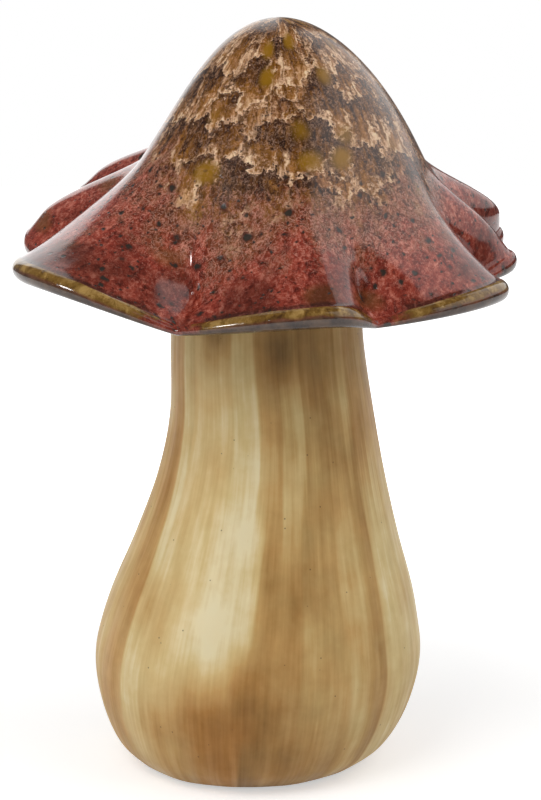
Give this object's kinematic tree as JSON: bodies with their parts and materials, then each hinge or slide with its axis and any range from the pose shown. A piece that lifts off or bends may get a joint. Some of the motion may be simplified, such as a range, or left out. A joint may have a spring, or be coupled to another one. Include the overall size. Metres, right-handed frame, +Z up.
{
  "type": "ceramic mushroom ornament",
  "caption": "Free-standing ceramic mushroom: bulbous hollow stem in painted clay under a tall bell-shaped glazed cap with a wavy brim and rolled lip, which turns and lifts off.",
  "frame": {"origin": "middle of the drain hole where it opens in the foot's underside", "axes": "+Z up the stem, +X to the right and -Y towards the pictured front"},
  "size_m": [0.2036, 0.1936, 0.3114],
  "materials": {
    "cap_glaze": "glossy reactive glaze, crimson at the brim and mottled tan at the crown",
    "stem_paint": "satin ochre paint over fired clay, with broad brush strokes",
    "ring_rubber": "matte",
    "pad_felt": "felt"
  },
  "bodies": {
    "stem_body": {"stem": "stem_paint", "foot_pad_1": "pad_felt", "foot_pad_2": "pad_felt", "foot_pad_3": "pad_felt", "foot_pad_4": "pad_felt"},
    "ring_body": {"seat_ring": "ring_rubber"},
    "cap_body": {"cap": "cap_glaze", "cap_collar": "cap_glaze"}
  },
  "joints": [
    {"name": "cap_turn", "type": "hinge", "parent": "stem_body", "child": "ring_body", "pos_m": [0.007, 0, 0.24], "axis": [0, 0, 1], "continuous": true},
    {"name": "cap_lift", "type": "slide", "parent": "ring_body", "child": "cap_body", "axis": [0, 0, 1], "range_m": [0, 0.08]}
  ]
}
